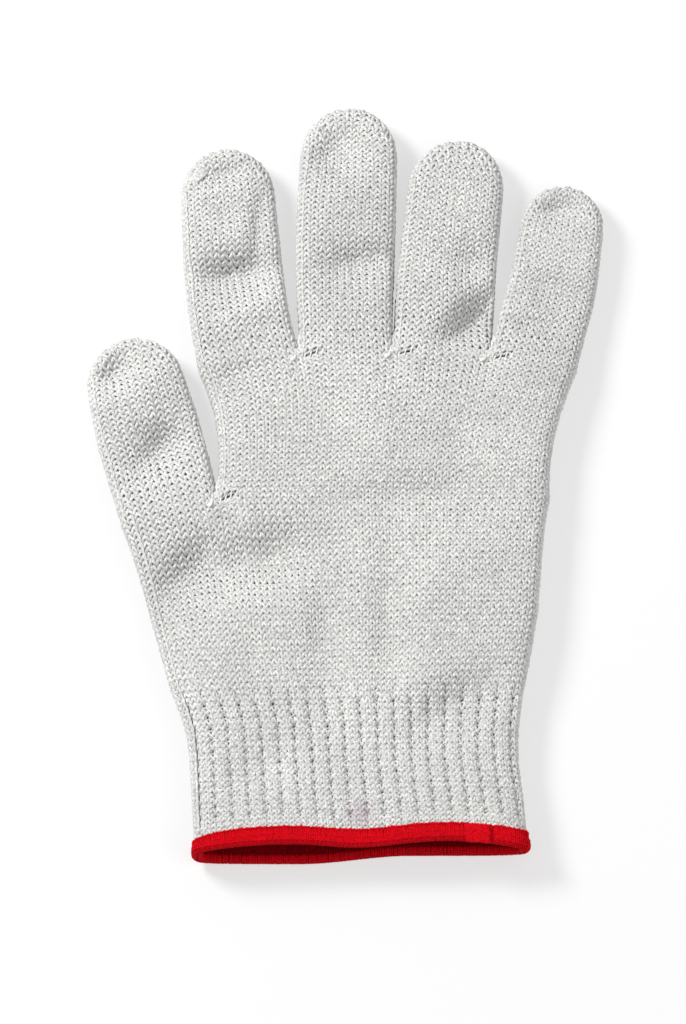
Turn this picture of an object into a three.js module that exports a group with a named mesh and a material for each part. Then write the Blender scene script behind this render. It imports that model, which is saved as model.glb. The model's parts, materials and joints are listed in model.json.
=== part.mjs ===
// A seamless machine-knitted glove, lying flat with its palm up.
// +X to the little finger, +Y to the fingertips, +Z up off the table. Millimetres.
// Every section is a hollow knitted tube, so that a hand could go in at the cuff.
import * as THREE from 'three';

// Fabric
const WALL = 1.3; // thickness of the knitted wall
const GAP = 0.3; // clearance between neighbouring sections
const EDGE_POWER = 2.5; // squareness of a tube's folded edges
const PRESSED = 0.06; // share of a tube's height pressed flat on the table

// Fingers. base is the middle of the root, lean is in degrees towards +X, tip is [along, across],
// domed is the length of the rounded end, outline rows are [along, left, right, height].
// pivots are the bending places along the finger, and curls their largest angles in degrees.
const DIGITS = {
  index: {
    base: [-29.2, 40.3],
    lean: -5.5,
    tip: [67.2, -2.1],
    domed: 15,
    outline: [[0, -17, 14.3, 13.2], [14, -17.8, 13, 12.2], [30, -17.9, 12.5, 12], [54, -16.6, 12.4, 12]],
    pivots: [6.4, 26, 46],
    curls: [80, 85, 57],
  },
  middle: {
    base: [0.5, 42.8],
    lean: 0.5,
    tip: [77.4, 0.4],
    domed: 15,
    outline: [[0, -13, 12.9, 13.2], [10, -15, 13.9, 12.4], [30, -16.1, 14.6, 12.2], [64, -14.9, 15.1, 12.2]],
    pivots: [6.4, 30, 54],
    curls: [80, 85, 57],
  },
  ring: {
    base: [30, 42.2],
    lean: 4.5,
    tip: [67.7, 0.8],
    domed: 15,
    outline: [[0, -14.3, 14, 13.2], [10, -15.5, 14.8, 12.2], [30, -15.4, 14.7, 12], [54, -14.4, 15, 12]],
    pivots: [6.4, 26, 46],
    curls: [80, 85, 57],
  },
  little: {
    base: [58.9, 40.9],
    lean: 9.5,
    tip: [55.2, 1.3],
    domed: 13,
    outline: [[0, -12.6, 13.2, 12.6], [8, -13.2, 13.9, 11.6], [20, -12.1, 15.1, 11], [43, -11.4, 14.2, 11]],
    pivots: [6, 21, 36.5],
    curls: [75, 85, 57],
  },
  thumb: {
    base: [-54.4, -7.3],
    lean: -13.5,
    tip: [54.6, -1.2],
    domed: 15,
    outline: [[0, -15.8, 14.5, 14.6], [8, -16.2, 15.4, 13.6], [20, -16.9, 15.6, 13], [42, -16, 13.9, 13]],
    pivots: [6.4, 30],
    curls: [60, 80],
  },
};

// Palm. Outline rows are [y, left, right, height].
const UPPER_PALM = [
  [-3.3, -38.3, 62.3, 15.6],
  [12, -38.9, 63.8, 15],
  [26, -41, 67, 14.2],
  [42.6, -46.6, 72.6, 13.4],
];
const LOWER_PALM = [
  [-66.6, -53.4, 54.7, 14.6],
  [-42, -59.6, 59.1, 16],
  [-24, -63.9, 60.4, 16],
  [-3.6, -69.6, 62.3, 15.8],
];
const FINGER_ROOTS = [[-47, 38.6], [-13.7, 41.7], [14.6, 42.5], [45.4, 40.9], [73, 38.4]]; // [x, y]
const THUMB_ROOT = [[-70, -11.1], [-39.6, -3.8], [64, -3.6]]; // [x, y], straight across past the thumb
const DOME_RINGS = 5; // rings round a fingertip's rounded end
const DOME_FULLNESS = 0.6; // below 1, a fingertip keeps its height longer than its width

// Wrist and cuff. Outline rows are [y, left, right, height].
const CUFF = [
  [-118.6, -46.4, 57, 16],
  [-104, -46.9, 55, 15.4],
  [-92, -47.4, 53.2, 14.8],
  [-79.9, -48.6, 53, 14.4],
  [-66.9, -53.2, 54.6, 14.6],
];
const WRIST_TOP = -66.9;
const WRIST_LENGTH = 13;
const CUFF_TOP = WRIST_TOP - WRIST_LENGTH - GAP;
const HEM_END = -118.6; // where the cuff's raw edge lies at the back of the hand
const FRONT_SHORTER = 3.5; // the palm side of the mouth ends this much earlier
const FRONT_FROM = 0.2; // share of the height where the mouth starts to be shorter
const RIBS = 40; // round the whole cuff
const RIB_DEPTH = 0.35;
const RIB_SIDES = 4; // faces across one rib

// Elastic laid into the cuff, and the overlock round its edge
const ELASTIC_RADIUS = 0.4;
const ELASTIC_TURNS = 3;
const ELASTIC_FROM = -83;
const ELASTIC_TO = -111;
const OVERLOCK_REACH = 4.6; // how far the overlock covers the cuff
const OVERLOCK_THREAD = 1; // thickness of the thread over the edge, which lifts the hem off the table
const BAND_BEVEL = 0.5; // at the band's upper edges
const BAND_ROUND = 0.8; // at its lower edges
const LIFT_FROM = -86; // where the cuff starts to rise off the table
const LIFT_TO = -112;
const TAIL_RADIUS = 1.3;
const TAIL_LENGTH = 4.6;
const TAIL_X = 40;

// Joins at the crotches
const JOIN_RADIUS = 0.85;
const JOIN_DEPTH = 2.4;
const JOIN_INSET = 1.8;
const FINGER_JOIN_HEIGHT = 13.4;
const THUMB_JOIN_HEIGHT = 15.6;

// Faces round each kind of tube
const FINGER_SIDES = 28;
const PALM_SIDES = 72;
const THREAD_SIDES = 5;
const THREAD_STEPS = 48; // along one turn of the elastic
const JOIN_SIDES = 8;
const JOIN_STEPS = 8;

const YARN = { color: '#d2d2cf', roughness: 0.95, metalness: 0 };
const JOIN_YARN = { color: '#dededb', roughness: 0.95, metalness: 0 };
const OVERLOCK_YARN = { color: '#b50311', roughness: 0.85, metalness: 0 };
const ELASTIC_YARN = { color: '#e6e4de', roughness: 0.8, metalness: 0 };

const glove = new THREE.Group();

function add(name, finish, triangles) {
  const shape = new THREE.BufferGeometry();
  const corners = triangles.flat().flatMap((point) => point.toArray());
  shape.setAttribute('position', new THREE.Float32BufferAttribute(corners, 3));
  shape.computeVertexNormals();
  const mesh = new THREE.Mesh(shape, new THREE.MeshStandardMaterial(finish));
  mesh.name = name;
  glove.add(mesh);
}

// A smooth reading of one column of an outline at any place along it.
function column(outline, index) {
  const places = outline.map((row) => row[0]);
  const values = outline.map((row) => row[index]);
  const curve = new THREE.CubicInterpolant(places, values, 1, new Float32Array(1));
  return (place) => curve.evaluate(place)[0];
}

// A straight-line reading of [x, y] points.
function polyline(points) {
  const curve = new THREE.LinearInterpolant(
    points.map((point) => point[0]),
    points.map((point) => point[1]),
    1,
    new Float32Array(1),
  );
  return (x) => curve.evaluate(THREE.MathUtils.clamp(x, points[0][0], points.at(-1)[0]))[0];
}

const squared = (value) => Math.sign(value) * Math.abs(value) ** (2 / EDGE_POWER);

// The section of a flat-lying tube at one angle: [across, up], with its underside pressed flat.
function sectionPoint(size, inset, angle) {
  const half = (size.right - size.left) / 2 - inset;
  const middle = (size.left + size.right) / 2;
  const up = (1 + squared(Math.sin(angle))) / 2;
  const flattened = Math.max(up - PRESSED, 0) / (1 - PRESSED);
  return new THREE.Vector2(
    middle + half * squared(Math.cos(angle)),
    size.floor + inset + (size.height - 2 * inset) * flattened,
  );
}

// The same section as evenly spaced points.
function section(size, inset, sides) {
  const fine = 4 * sides;
  const points = [];
  for (let i = 0; i <= fine; i += 1) {
    points.push(sectionPoint(size, inset, (2 * Math.PI * i) / fine));
  }
  return new THREE.Path(points).getSpacedPoints(sides).slice(0, sides);
}

// Triangles between neighbouring rings of a chain. A ring of one point is a pole.
function skin(chain) {
  const triangles = [];
  for (let k = 1; k < chain.length; k += 1) {
    const [near, far] = [chain[k - 1], chain[k]];
    const sides = Math.max(near.length, far.length);
    for (let i = 0; i < sides; i += 1) {
      const j = (i + 1) % sides;
      if (near.length === 1) {
        triangles.push([near[0], far[i], far[j]]);
      } else if (far.length === 1) {
        triangles.push([near[i], far[0], near[j]]);
      } else {
        triangles.push([near[i], far[i], far[j]]);
        triangles.push([near[i], far[j], near[j]]);
      }
    }
  }
  return triangles;
}

// An open tube: up the outside and back down the inside.
const tube = (outer, inner) => skin([...outer, ...inner.toReversed(), outer[0]]);

// A tube that is closed at its far end, with a pole on the outer skin and one on the inner.
const cap = (outer, inner, outerPole, innerPole) =>
  skin([[innerPole], ...inner.toReversed(), ...outer, [outerPole]]);

const steps = (from, to, count) =>
  Array.from({ length: count + 1 }, (_, i) => THREE.MathUtils.lerp(from, to, i / count));

// ---- fingers and thumb ----

function digitFrame(digit) {
  const lean = THREE.MathUtils.degToRad(digit.lean);
  const [x, y] = digit.base;
  return (along, across, up) =>
    new THREE.Vector3(
      x + across * Math.cos(lean) + along * Math.sin(lean),
      y - across * Math.sin(lean) + along * Math.cos(lean),
      up,
    );
}

function digitSize(digit, along) {
  return {
    left: column(digit.outline, 1)(along),
    right: column(digit.outline, 2)(along),
    height: column(digit.outline, 3)(along),
    floor: 0,
  };
}

function digitTube(digit, from, to, rings) {
  const place = digitFrame(digit);
  const wall = (inset) =>
    steps(from, to, rings).map((along) =>
      section(digitSize(digit, along), inset, FINGER_SIDES).map((point) => place(along, point.x, point.y)),
    );
  return tube(wall(0), wall(WALL));
}

function digitCap(digit, from) {
  const place = digitFrame(digit);
  const start = digit.tip[0] - digit.domed;
  const size = digitSize(digit, start);
  const middle = new THREE.Vector2((size.left + size.right) / 2, size.height / 2);
  const dome = (inset) => {
    const rings = [];
    for (let k = 1; k < DOME_RINGS; k += 1) {
      const turn = (Math.PI / 2) * (k / DOME_RINGS);
      const along = start + (digit.domed - inset) * Math.sin(turn);
      const drift = (digit.tip[1] - middle.x) * Math.sin(turn) ** 2;
      const ring = section(size, inset, FINGER_SIDES).map((point) => {
        const across = middle.x + (point.x - middle.x) * Math.cos(turn) + drift;
        const up = middle.y + (point.y - middle.y) * Math.cos(turn) ** DOME_FULLNESS;
        return place(along, across, up);
      });
      rings.push(ring);
    }
    return rings;
  };
  const straight = (inset) =>
    [from, start].map((along) =>
      section(digitSize(digit, along), inset, FINGER_SIDES).map((point) => place(along, point.x, point.y)),
    );
  return cap(
    [...straight(0), ...dome(0)],
    [...straight(WALL), ...dome(WALL)],
    place(digit.tip[0], digit.tip[1], middle.y),
    place(digit.tip[0] - WALL, digit.tip[1], middle.y),
  );
}

// Half the length of a bending section: enough for the folded walls to clear each other.
function bendReach(digit, k) {
  const height = digitSize(digit, digit.pivots[k]).height;
  return (height / 2) * Math.tan(THREE.MathUtils.degToRad(digit.curls[k]) / 2) + GAP;
}

function addDigit(name, digit) {
  const whole = digit.pivots.length === 3;
  const parts = whole ? ['proximal', 'middle', 'tip'] : ['base', 'tip'];
  const bends = whole ? ['root_bend', 'middle_bend', 'tip_bend'] : ['root_bend', 'tip_bend'];
  digit.pivots.forEach((pivot, k) => {
    const reach = bendReach(digit, k);
    const start = k === 0 ? GAP : pivot - reach;
    const end = pivot + reach;
    add(`${name}_${bends[k]}`, YARN, digitTube(digit, start, end, 2));
    if (k < digit.pivots.length - 1) {
      const next = digit.pivots[k + 1] - bendReach(digit, k + 1);
      add(`${name}_${parts[k]}`, YARN, digitTube(digit, end + GAP, next - GAP, 1));
    } else {
      add(`${name}_${parts[k]}`, YARN, digitCap(digit, end + GAP));
    }
  });
}

// ---- palm ----

function rowSize(outline, y) {
  return {
    left: column(outline, 1)(y),
    right: column(outline, 2)(y),
    height: column(outline, 3)(y),
    floor: OVERLOCK_THREAD * THREE.MathUtils.smoothstep(-y, -LIFT_FROM, -LIFT_TO),
  };
}

// A palm tube whose far end follows a line that isn't square to the hand.
function palmTube(outline, farLine, count) {
  const [from, to] = [outline[0][0], outline.at(-1)[0]];
  const line = polyline(farLine);
  const wall = (inset) =>
    steps(0, 1, count).map((share) => {
      const y = THREE.MathUtils.lerp(from, to, share);
      return section(rowSize(outline, y), inset, PALM_SIDES).map(
        (point) => new THREE.Vector3(point.x, y + share * (line(point.x) - to), point.y),
      );
    });
  return tube(wall(0), wall(WALL));
}

function addJoin(name, x, y, height) {
  const turns = steps(-Math.PI / 2, Math.PI / 2, JOIN_STEPS);
  const middle = new THREE.Vector3(x, y, height / 2);
  const reach = height / 2 - JOIN_INSET;
  const arc = (turn, out) =>
    new THREE.Vector3(0, (JOIN_DEPTH + out) * Math.cos(turn), (reach + out) * Math.sin(turn)).add(middle);
  const rings = turns.map((turn) =>
    Array.from({ length: JOIN_SIDES }, (_, i) => {
      const angle = (2 * Math.PI * i) / JOIN_SIDES;
      const point = arc(turn, JOIN_RADIUS * Math.cos(angle));
      point.x += JOIN_RADIUS * Math.sin(angle);
      return point;
    }),
  );
  add(name, JOIN_YARN, skin([[arc(turns[0], 0)], ...rings, [arc(turns.at(-1), 0)]]));
}

// ---- wrist, cuff and what is sewn to it ----

// The cuff's wall at one place; the palm side of the mouth is cut a little shorter.
function cuffY(y, point, size) {
  const share = Math.max((CUFF_TOP - y) / (CUFF_TOP - HEM_END), 0);
  const from = size.floor + size.height * FRONT_FROM;
  const front = THREE.MathUtils.smoothstep(point.y, from, size.floor + size.height);
  return y + FRONT_SHORTER * front * share * share;
}

function cuffRing(y, inset, sides) {
  const size = rowSize(CUFF, y);
  return section(size, inset, sides).map(
    (point) => new THREE.Vector3(point.x, cuffY(y, point, size), point.y),
  );
}

function ribbedRing(y) {
  const crest = cuffRing(y, 0, RIBS * RIB_SIDES);
  const groove = cuffRing(y, RIB_DEPTH, RIBS * RIB_SIDES);
  return crest.map((point, i) => {
    const depth = (1 - Math.cos((2 * Math.PI * i) / RIB_SIDES)) / 2;
    return point.clone().lerp(groove[i], depth);
  });
}

function ribbedTube(from, to, count) {
  const places = steps(from, to, count);
  const outer = places.map((y) => ribbedRing(y));
  const inner = places.map((y) => cuffRing(y, WALL, RIBS * RIB_SIDES));
  return tube(outer, inner);
}

// One elastic thread winding round inside the cuff.
function elasticThread() {
  const inset = WALL + GAP + ELASTIC_RADIUS;
  const route = steps(0, ELASTIC_TURNS, ELASTIC_TURNS * THREAD_STEPS).map((turn) => {
    const y = THREE.MathUtils.lerp(ELASTIC_FROM, ELASTIC_TO, turn / ELASTIC_TURNS);
    const size = rowSize(CUFF, y);
    const angle = 2 * Math.PI * turn;
    const at = (depth) => {
      const point = sectionPoint(size, depth, angle);
      return new THREE.Vector3(point.x, cuffY(y, point, size), point.y);
    };
    return { centre: at(inset), outward: at(inset - GAP).sub(at(inset)).normalize() };
  });
  const rings = route.map(({ centre, outward }, k) => {
    const before = route[Math.max(k - 1, 0)].centre;
    const after = route[Math.min(k + 1, route.length - 1)].centre;
    const travel = after.clone().sub(before).normalize();
    const side = outward.clone().cross(travel).normalize();
    return Array.from({ length: THREAD_SIDES }, (_, i) => {
      const angle = (2 * Math.PI * i) / THREAD_SIDES;
      return centre
        .clone()
        .addScaledVector(outward, ELASTIC_RADIUS * Math.cos(angle))
        .addScaledVector(side, ELASTIC_RADIUS * Math.sin(angle));
    });
  });
  return skin([[route[0].centre], ...rings, [route.at(-1).centre]]);
}

// The overlock grips the raw edge in a channel: [inset, y] round its section.
function overlockBand() {
  const outside = -OVERLOCK_THREAD;
  const inside = WALL + OVERLOCK_THREAD;
  const top = HEM_END + OVERLOCK_REACH;
  const raw = HEM_END - GAP;
  const low = raw - OVERLOCK_THREAD;
  const channel = [
    [outside, top - BAND_BEVEL],
    [outside + BAND_BEVEL, top],
    [-GAP, top],
    [-GAP, raw],
    [WALL + GAP, raw],
    [WALL + GAP, top],
    [inside - BAND_BEVEL, top],
    [inside, top - BAND_BEVEL],
    [inside, low + BAND_ROUND],
    [inside - BAND_ROUND, low],
    [outside + BAND_ROUND, low],
    [outside, low + BAND_ROUND],
  ];
  const rings = channel.map(([inset, y]) => cuffRing(y, inset, PALM_SIDES));
  return skin([...rings, rings[0]]);
}

function overlockTail() {
  const tail = new THREE.CapsuleGeometry(TAIL_RADIUS, TAIL_LENGTH, 4, 10);
  tail.rotateZ(Math.PI / 2);
  const size = rowSize(CUFF, HEM_END);
  const y = HEM_END + FRONT_SHORTER - 2 * GAP - OVERLOCK_THREAD - TAIL_RADIUS;
  tail.translate(TAIL_X, y, size.floor + size.height - TAIL_RADIUS);
  const flat = tail.toNonIndexed();
  const place = flat.getAttribute('position');
  const corner = (i) => new THREE.Vector3().fromBufferAttribute(place, i);
  const triangle = (k) => [corner(3 * k), corner(3 * k + 1), corner(3 * k + 2)];
  return Array.from({ length: place.count / 3 }, (_, k) => triangle(k));
}

// ---- the whole glove ----

add('upper_palm', YARN, palmTube(UPPER_PALM, FINGER_ROOTS, 5));
add('lower_palm', YARN, palmTube(LOWER_PALM, THUMB_ROOT, 5));
for (const [name, digit] of Object.entries(DIGITS)) {
  addDigit(name, digit);
}

// A join stands in the crotch, half way between the two tubes beside it.
function crotch(leftDigit, rightDigit) {
  const edge = (digit, side) => digitFrame(digit)(JOIN_DEPTH, column(digit.outline, side)(JOIN_DEPTH), 0);
  return (edge(leftDigit, 2).x + edge(rightDigit, 1).x) / 2;
}
const rootLine = polyline(FINGER_ROOTS);
const crotches = [['index', 'middle'], ['middle', 'ring'], ['ring', 'little']];
for (const [left, right] of crotches) {
  const x = crotch(DIGITS[left], DIGITS[right]);
  addJoin(`${left}_${right}_join`, x, rootLine(x) + JOIN_RADIUS + GAP, FINGER_JOIN_HEIGHT);
}
const thumbEdge = digitFrame(DIGITS.thumb)(JOIN_DEPTH, column(DIGITS.thumb.outline, 2)(JOIN_DEPTH), 0).x;
const thumbJoin = (thumbEdge + UPPER_PALM[0][1]) / 2;
const thumbLine = polyline(THUMB_ROOT)(thumbJoin);
addJoin('thumb_index_join', thumbJoin, thumbLine + JOIN_RADIUS + GAP, THUMB_JOIN_HEIGHT);

add('wrist_bend', YARN, ribbedTube(CUFF_TOP + GAP, WRIST_TOP, 2));
add('rib_cuff', YARN, ribbedTube(HEM_END, CUFF_TOP, 4));
add('cuff_elastic', ELASTIC_YARN, elasticThread());
add('overlock_edge', OVERLOCK_YARN, overlockBand());
add('overlock_tail', OVERLOCK_YARN, overlockTail());

// The origin is under the middle of the glove, on the table.
const box = new THREE.Box3().setFromObject(glove);
const centre = box.getCenter(new THREE.Vector3());
for (const mesh of glove.children) {
  mesh.geometry.translate(-centre.x, -centre.y, -box.min.z);
}

export default glove;
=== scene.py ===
import json
import math
from collections import namedtuple

import bpy
import numpy as np
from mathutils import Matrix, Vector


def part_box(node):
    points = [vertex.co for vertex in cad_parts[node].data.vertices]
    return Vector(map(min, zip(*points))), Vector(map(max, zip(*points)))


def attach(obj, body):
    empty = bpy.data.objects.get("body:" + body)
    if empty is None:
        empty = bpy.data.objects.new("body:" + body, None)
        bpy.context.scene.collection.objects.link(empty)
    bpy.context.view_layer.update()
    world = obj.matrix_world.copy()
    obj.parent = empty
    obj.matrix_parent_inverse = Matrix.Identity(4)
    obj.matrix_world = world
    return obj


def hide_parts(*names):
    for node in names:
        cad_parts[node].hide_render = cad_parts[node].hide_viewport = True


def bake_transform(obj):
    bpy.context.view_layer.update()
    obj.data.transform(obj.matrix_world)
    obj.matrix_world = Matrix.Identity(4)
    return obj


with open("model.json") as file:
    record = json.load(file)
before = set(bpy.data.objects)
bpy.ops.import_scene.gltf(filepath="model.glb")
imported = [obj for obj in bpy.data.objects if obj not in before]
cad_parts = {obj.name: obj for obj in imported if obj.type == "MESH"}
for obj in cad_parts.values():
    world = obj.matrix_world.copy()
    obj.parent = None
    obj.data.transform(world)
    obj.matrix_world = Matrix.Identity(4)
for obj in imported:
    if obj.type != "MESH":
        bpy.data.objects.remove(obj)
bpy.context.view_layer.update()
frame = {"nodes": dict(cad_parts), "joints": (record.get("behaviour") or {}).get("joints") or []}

MM = 0.001
rng = np.random.default_rng(11)

# ---- the knit ----
DIGIT_WALES = 15  # columns of stitches on one side of a finger or the thumb
DROPPED = 1.5  # columns of a digit that end at each crotch
PALM_WALES = 51  # one side of the four-finger body: 4 digits, less what ends at 3 crotches
BODY_WALES = 63  # one side of the lower palm and cuff
RIB_WALES = 3  # columns in one rib of the cuff
DIGIT_COURSE = 1.72  # height of one row of stitches
PALM_COURSE = 1.84
BODY_COURSE = 1.92
FINE = 4  # grid columns for one wale
YARN = 0.55  # radius of the yarn
DEPTH = 0.4  # how far the legs of a stitch stand out, and its head lies back
LEAN_IN = 0.35  # how strongly a stitch narrows towards its foot, in wales
LOOP_REACH = 0.74  # half the height of a stitch's loop, in courses
LOOP_STEPS = 12  # points along one stitch
YARN_SIDES = 5
INSET = 0.9  # from the CAD's outer surface to the middle of the knit

# ---- the tubes ----
DOME = 17  # length of a fingertip's rounding
DOME_KNIT = 16  # within this of the tip the stitches keep their width and fewer of them fit
DIGIT_FULLNESS = (4.6, 5.2)  # how square a section is, front and back
BODY_FULLNESS = (5.0, 6.0)
THUMB_CORNER_IN = 0.8  # how far the outer corners of the roots are drawn in
FINGER_CORNER_IN = 1.2
ROOT_DROP = 2.4  # the knit divides into fingers a little below the CAD's roots
ROOT_REACH = 9  # how far up a digit its rows follow the slope of its root
CROTCH_EASE = 4.0  # how far up a digit its edge eases away from its corner
OUTER_EASE = 11.0  # the same along the outer edges of the glove
PALM_EASE = (42, 13)  # how far below the roots the outline and the height ease into the digits
BODY_EASE = (50, 15)
HUMP_SAMPLES = np.sin(np.linspace(-np.pi / 2, np.pi / 2, 161))
STEEP = 0.9  # a fold's wall towards the fingertips is steeper than the other
SLACK = 1.2

# Dents and folds: [along from the root, across, half length, half width, turn in degrees, height]
DENTS = {
    "index": [
        (26, -2, 11, 5.2, 4, -6.6),
        (37, -4, 9, 4, 4, 0.8),
        (40, 6, 11, 2.4, 80, -1.9),
        (58, -2, 8, 3.6, 5, -2.8),
        (12, 0, 12, 3.5, 18, 1.3),
    ],
    "middle": [(26.5, 4, 11, 6, 8, -4.8), (62, -4, 9, 7, 40, -4.6), (44, -4, 9, 6, 0, 0.9)],
    "ring": [(10, 9, 12, 6, 52, -7.4), (28, 8, 8, 7, 0, -3.8), (20, -7, 9, 5, 20, 1.0)],
    "little": [(20, 3, 9, 4, -10, -2), (46, -1, 9, 4.5, 20, -4), (8, 0, 9, 3, 0, -1.4)],
    "thumb": [
        (17, 2, 9, 7, 30, -6.2),
        (44, -7, 7, 4.5, 32, -4.8),
        (36, 1, 7, 5, 20, 1.2),
        (14, 10, 6, 4, 0, 1.0),
    ],
    "palm": [
        (-32, -49, 16, 8, 45, -5.4),
        (-29, -23, 13, 9, 12, -6.6),
        (-31, -37, 12, 7, 20, -2.4),
        (-47, -52, 9, 6, 50, -1.6),
        (-48, -6, 24, 6, 88, -2.2),
        (-46, 13, 22, 6, 90, -2.2),
        (-6, 27, 22, 7, 3, -2.8),
        (34, -27, 15, 6, 20, -2.6),
        (-73, 33, 15, 8, 35, -3.6),
        (-95, -31, 15, 6, 30, -1.2),
        (-36, 26, 14, 8, 60, 1.4),
        (20, 8, 20, 6, 90, 0.9),
    ],
}

# ---- crotches ----
BRIDGE = 3.0  # columns beside a crotch that run flat over to the neighbour
BRIDGE_DIP = 0.8
BRIDGE_SINK = 1.2  # how far the crotch reaches down between the root rows
BRIDGE_FADE = 2.8
SLOT = 1.0  # how far each side of the slot beside a crotch moves
SLOT_ASIDE = 1.7  # from the crotch to the middle of the slot, in columns
RENEWED_ROWS = 20  # rows of a digit whose normals change with its root
JOIN_OUT = 0.75  # how far the light bar stands out from the knit
JOIN_RADIUS = 0.5

# ---- edge line, gathered tip and bends ----
EDGE_IN = 1.5
EDGE_OUT = 0.62
EDGE_RADIUS = 0.42
EDGE_GROOVE = 0.55  # depth of the groove outside the edge line
GATHER_AT = (-45.4, 97.1)  # on the index tip
GATHER_TURN = 45
GATHER_STRANDS = 7
GATHER_POINTS = 12
GATHER_LONG = 3.0  # half the length of the middle strand
GATHER_PITCH = 0.42
GATHER_OUT = 1.05
WRIST_REACH = 11

# ---- mouth and overlock ----
MOUTH_IN_LEFT = 0.4  # how far the overlock draws the two ends of the mouth in
MOUTH_IN_RIGHT = 1.3
MOUTH_SHORTER = 3.4
MOUTH_SAG = 2.0  # the palm side of the mouth sags in the middle
MOUTH_SLOPE = 2.6  # the back of the mouth is drawn up on the little finger's side
MOUTH_FOLD = 35  # how far up the cuff the waves of the mouth reach
WRAP_PITCH = 0.5
WRAP_RADIUS = 0.33
CHAIN_PITCH = 1.3
CHAIN_STEPS = 8
BAND_UP = 4.9  # how far the band reaches up the outside
INSIDE_UP = 6.6
ROLL = 1.15  # from the middle of the knit to the thread that wraps its edge
NARROW = 0.32  # share of the band's width that is lost at the left fold
NARROW_REACH = 0.045  # share of the way round
PAD_PITCH = 0.62
PAD_RADIUS = 0.42
PAD_STEPS = 300
TUFT_STRANDS = 8
TUFT_POINTS = 160
TUFT_WIDE = 2.9
TUFT_TALL = 2.4
TUFT_UP = 1.4  # from the edge of the band to the middle of the tuft
TUFT_RADIUS = 0.4

# ---- colours, camera and light ----
KNIT_LIGHT = (0.74, 0.74, 0.715)
KNIT_DARK = (0.40, 0.405, 0.40)
STAIN = ((0.0045, -0.1065, 0.014), 0.0064, (0.84, 0.76, 0.82))  # place and reach in metres, tint
TILT = 15  # degrees from straight above, towards the cuff
LENS = 400
DISTANCE = 3.498
TARGET = (-0.0008, -0.0097, 0.006)

DIGITS = ("index", "middle", "ring", "little", "thumb")
Axes = namedtuple("Axes", "origin across along")
Cloth = namedtuple("Cloth", "front back places")  # rows x columns x xyz, and each row's place along


# ---- reading the CAD ----
def to_local(points, axes):
    offset = points[..., :2] - axes.origin
    return np.stack([offset @ axes.across, offset @ axes.along, points[..., 2]], -1)


def to_world(across, along, up, axes):
    plan = axes.origin + across[..., None] * axes.across + along[..., None] * axes.along
    return np.concatenate([plan, np.broadcast_to(up, across.shape)[..., None]], -1)


def cad_edges(names):
    """Both ends of every mesh edge of these CAD nodes."""
    found = []
    for name in names:
        mesh = frame["nodes"][name].data
        points = np.empty(3 * len(mesh.vertices))
        mesh.vertices.foreach_get("co", points)
        pairs = np.empty(2 * len(mesh.edges), int)
        mesh.edges.foreach_get("vertices", pairs)
        found.append(points.reshape(-1, 3)[pairs.reshape(-1, 2)] / MM)
    return np.concatenate(found)


def outline(names, axes, places):
    """Rows of [place, left, right, bottom, top] where these CAD nodes cross each place along the axes."""
    ends = to_local(cad_edges(names), axes)
    near, far = ends[:, 0], ends[:, 1]
    rows = []
    for place in places:
        crosses = (near[:, 1] - place) * (far[:, 1] - place) < 0
        if not crosses.any():
            continue
        a, b = near[crosses], far[crosses]
        hit = a + ((place - a[:, 1]) / (b[:, 1] - a[:, 1]))[:, None] * (b - a)
        rows.append([place, hit[:, 0].min(), hit[:, 0].max(), hit[:, 2].min(), hit[:, 2].max()])
    return np.array(rows)


def read(rows, place, column):
    return np.interp(place, rows[:, 0], rows[:, column])


def node_range(name, axes):
    local = to_local(cad_edges([name]), axes)
    return local[..., 1].min(), local[..., 1].max()


joints = {joint["name"]: joint for joint in frame["joints"]}
WORLD = Axes(np.zeros(2), np.array([1.0, 0]), np.array([0, 1.0]))


def digit_axes(name):
    joint = joints[f"{name}_root"]
    across = np.array(joint["axis"][:2])
    return Axes(np.array(joint["pos_m"][:2]) / MM, across, np.array([-across[1], across[0]]))


# ---- surfaces that the knit follows ----
def hump(ratio, power):
    """1 in the middle of a tube's section and 0 at its edges."""
    return (1 - np.minimum(np.abs(ratio), 1) ** power) ** (1 / power)


def spaced(points, wanted):
    """Points, with any normals they carry, at the wanted arc lengths along each row."""
    steps = np.linalg.norm(np.diff(points[..., :3], axis=1), axis=2)
    arcs = np.concatenate([np.zeros((len(points), 1)), np.cumsum(steps, 1)], 1)
    rows = [
        np.stack([np.interp(want, arc, row[:, k]) for k in range(points.shape[2])], -1)
        for want, arc, row in zip(wanted(arcs[:, -1]), arcs, points)
    ]
    return np.array(rows)


def even(wales):
    """Grid columns evenly spaced over the whole of each row."""
    shares = np.linspace(0, 1, wales * FINE + 1)
    return lambda lengths: lengths[:, None] * shares


def course_places(start, end, course):
    count = round((end - start) / course)
    return np.linspace(start, end, 2 * count + 1)


def digit_section(name):
    """The digit's measures from the CAD, as functions of the place along it."""
    axes = digit_axes(name)
    names = [n for n in frame["nodes"] if n.startswith(name + "_") and not n.endswith("_join")]
    start = node_range(f"{name}_root_bend", axes)[0]
    tip = node_range(f"{name}_tip", axes)[1]
    rounding = tip - DOME * (1 - np.sin(np.linspace(0, np.pi / 2, 60)))
    places = np.concatenate([np.linspace(start + 0.02, tip - DOME, 60)[:-1], rounding - 0.03])
    return axes, start, tip, outline(names, axes, places)


sections = {name: digit_section(name) for name in DIGITS}


def root_point(name, side):
    axes, start, _, rows = sections[name]
    across = np.array(read(rows, start, 1 if side == "left" else 2))
    return to_world(across, np.array(start), 0, axes)[:2]


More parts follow.
